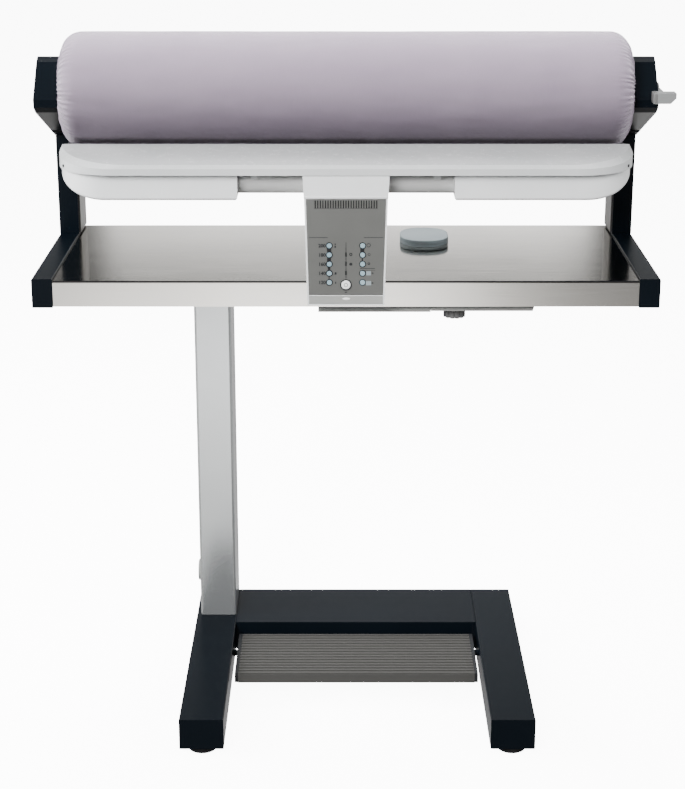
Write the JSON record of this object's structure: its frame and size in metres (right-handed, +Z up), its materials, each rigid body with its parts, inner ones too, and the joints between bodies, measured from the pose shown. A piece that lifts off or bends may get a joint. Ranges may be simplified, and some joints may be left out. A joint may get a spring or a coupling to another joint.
{
  "type": "flatwork ironer",
  "caption": "Free-standing flatwork ironer: padded roller over a heated shoe, laundry table, central control console, one-sided column and foot plate.",
  "frame": {"origin": "floor, under the middle of the outline", "axes": "+X to the right of someone who irons, along the roller; +Y from the operator to the back; +Z up"},
  "size_m": [0.945, 0.474, 1.0494],
  "materials": {
    "navy_paint": "satin powder coat",
    "silver_paint": "satin metallic paint",
    "grey_paint": "satin paint",
    "black_rubber": "matt",
    "black_plastic": "matt",
    "grey_plastic": "matt",
    "ribbed_aluminium": "extruded, satin",
    "stainless": "brushed along the width",
    "white_enamel": "gloss enamel",
    "white_plastic": "gloss",
    "turned_steel": "turned",
    "satin_tube": "drawn tube, satin",
    "polished_shoe": "polished",
    "zinc_sheet": "zinc plated",
    "padding_felt": "felt",
    "roller_cloth": "woven cotton, fine",
    "motor_casing": "cast and painted",
    "dark_screw": "blackened",
    "panel_grey": "fine satin",
    "circuit_board": "lacquered",
    "button_white": "gloss",
    "key_pale_blue": "satin",
    "tank_grey": "matt",
    "lid_blue_grey": "satin",
    "knob_grey": "matt",
    "lever_grey": "satin"
  },
  "bodies": {
    "base": {"cable_rosette": "grey_plastic", "column": "silver_paint", "console_case": "white_plastic", "console_head": "white_enamel", "control_panel": "panel_grey", "cross_tube": "satin_tube", "drive_motor": "motor_casing", "feed_tray": "white_enamel", "left_carrier": "grey_paint", "left_head_cover": "navy_paint", "left_head_plate": "navy_paint", "left_housing": "white_enamel", "left_leg": "navy_paint", "left_post": "navy_paint", "left_rail": "navy_paint", "levelling_feet": "black_rubber", "panel_board": "circuit_board", "post_covers": "stainless", "press_motor": "motor_casing", "pump_box": "tank_grey", "rear_beam": "navy_paint", "right_carrier": "grey_paint", "right_head_cover": "navy_paint", "right_head_plate": "navy_paint", "right_housing": "white_enamel", "right_leg": "navy_paint", "right_post": "navy_paint", "right_rail": "navy_paint", "table_beam": "grey_paint", "table_top": "stainless", "tray_clamps": "white_plastic", "tray_screws": "dark_screw", "water_tank": "tank_grey"},
    "roller": {"roller_core": "turned_steel", "roller_padding": "padding_felt", "roller_cover": "roller_cloth", "left_end_disc": "turned_steel", "right_end_disc": "turned_steel"},
    "shoe": {"heated_shoe": "polished_shoe", "shoe_heaters": "turned_steel", "shoe_shield": "zinc_sheet", "shoe_arms": "grey_paint", "press_sector": "turned_steel"},
    "press_pinion": {"press_pinion": "turned_steel"},
    "release_lever": {"release_lever": "lever_grey"},
    "foot_plate": {"foot_plate": "ribbed_aluminium", "foot_plate_caps": "black_plastic"},
    "tank_lid": {"tank_lid": "lid_blue_grey"},
    "drain_knob": {"drain_knob": "knob_grey"},
    "on_button": {"on_button": "button_white"},
    "left_key_1": {"left_key_1": "key_pale_blue"},
    "left_key_2": {"left_key_2": "key_pale_blue"},
    "left_key_3": {"left_key_3": "key_pale_blue"},
    "left_key_4": {"left_key_4": "key_pale_blue"},
    "left_key_5": {"left_key_5": "key_pale_blue"},
    "right_key_1": {"right_key_1": "key_pale_blue"},
    "right_key_2": {"right_key_2": "key_pale_blue"},
    "right_key_3": {"right_key_3": "key_pale_blue"},
    "right_key_4": {"right_key_4": "key_pale_blue"},
    "right_key_5": {"right_key_5": "key_pale_blue"}
  },
  "joints": [
    {"name": "roller_spin", "type": "hinge", "parent": "base", "child": "roller", "pos_m": [-0.0105, 0.032, 0.9625], "axis": [1, 0, 0], "continuous": true},
    {"name": "shoe_press", "type": "hinge", "parent": "base", "child": "shoe", "pos_m": [-0.0105, 0.202, 0.848], "axis": [1, 0, 0], "range_deg": [0, 5]},
    {"name": "pinion_turn", "type": "hinge", "parent": "base", "child": "press_pinion", "pos_m": [-0.0105, -0.03699, 0.826], "axis": [1, 0, 0], "range_deg": [-96, 0]},
    {"name": "lever_turn", "type": "hinge", "parent": "base", "child": "release_lever", "pos_m": [0.4515, 0.032, 0.9605], "axis": [1, 0, 0], "range_deg": [-60, 0]},
    {"name": "foot_plate_rock", "type": "hinge", "parent": "base", "child": "foot_plate", "pos_m": [0.0065, 0.009, 0.038], "axis": [1, 0, 0], "range_deg": [0, 5], "stiffness_Nm_per_rad": 4, "springref_deg": -10},
    {"name": "tank_lid_turn", "type": "hinge", "parent": "base", "child": "tank_lid", "pos_m": [0.1145, 0.129, 0.702], "axis": [0, 0, 1], "range_deg": [0, 90]},
    {"name": "drain_knob_turn", "type": "hinge", "parent": "base", "child": "drain_knob", "pos_m": [0.1525, -0.053, 0.652], "axis": [0, 0, 1], "range_deg": [0, 180]},
    {"name": "on_button_push", "type": "slide", "parent": "base", "child": "on_button", "axis": [0, 1, 0], "range_m": [0, 0.0015], "stiffness_N_per_m": 400, "springref_m": -0.002},
    {"name": "left_key_1_push", "type": "slide", "parent": "base", "child": "left_key_1", "axis": [0, 1, 0], "range_m": [0, 0.0005], "stiffness_N_per_m": 800, "springref_m": -0.0005},
    {"name": "left_key_2_push", "type": "slide", "parent": "base", "child": "left_key_2", "axis": [0, 1, 0], "range_m": [0, 0.0005], "stiffness_N_per_m": 800, "springref_m": -0.0005},
    {"name": "left_key_3_push", "type": "slide", "parent": "base", "child": "left_key_3", "axis": [0, 1, 0], "range_m": [0, 0.0005], "stiffness_N_per_m": 800, "springref_m": -0.0005},
    {"name": "left_key_4_push", "type": "slide", "parent": "base", "child": "left_key_4", "axis": [0, 1, 0], "range_m": [0, 0.0005], "stiffness_N_per_m": 800, "springref_m": -0.0005},
    {"name": "left_key_5_push", "type": "slide", "parent": "base", "child": "left_key_5", "axis": [0, 1, 0], "range_m": [0, 0.0005], "stiffness_N_per_m": 800, "springref_m": -0.0005},
    {"name": "right_key_1_push", "type": "slide", "parent": "base", "child": "right_key_1", "axis": [0, 1, 0], "range_m": [0, 0.0005], "stiffness_N_per_m": 800, "springref_m": -0.0005},
    {"name": "right_key_2_push", "type": "slide", "parent": "base", "child": "right_key_2", "axis": [0, 1, 0], "range_m": [0, 0.0005], "stiffness_N_per_m": 800, "springref_m": -0.0005},
    {"name": "right_key_3_push", "type": "slide", "parent": "base", "child": "right_key_3", "axis": [0, 1, 0], "range_m": [0, 0.0005], "stiffness_N_per_m": 800, "springref_m": -0.0005},
    {"name": "right_key_4_push", "type": "slide", "parent": "base", "child": "right_key_4", "axis": [0, 1, 0], "range_m": [0, 0.0005], "stiffness_N_per_m": 800, "springref_m": -0.0005},
    {"name": "right_key_5_push", "type": "slide", "parent": "base", "child": "right_key_5", "axis": [0, 1, 0], "range_m": [0, 0.0005], "stiffness_N_per_m": 800, "springref_m": -0.0005}
  ],
  "couplings": [
    {"joint": "pinion_turn", "follows": "shoe_press", "ratio": -19}
  ]
}
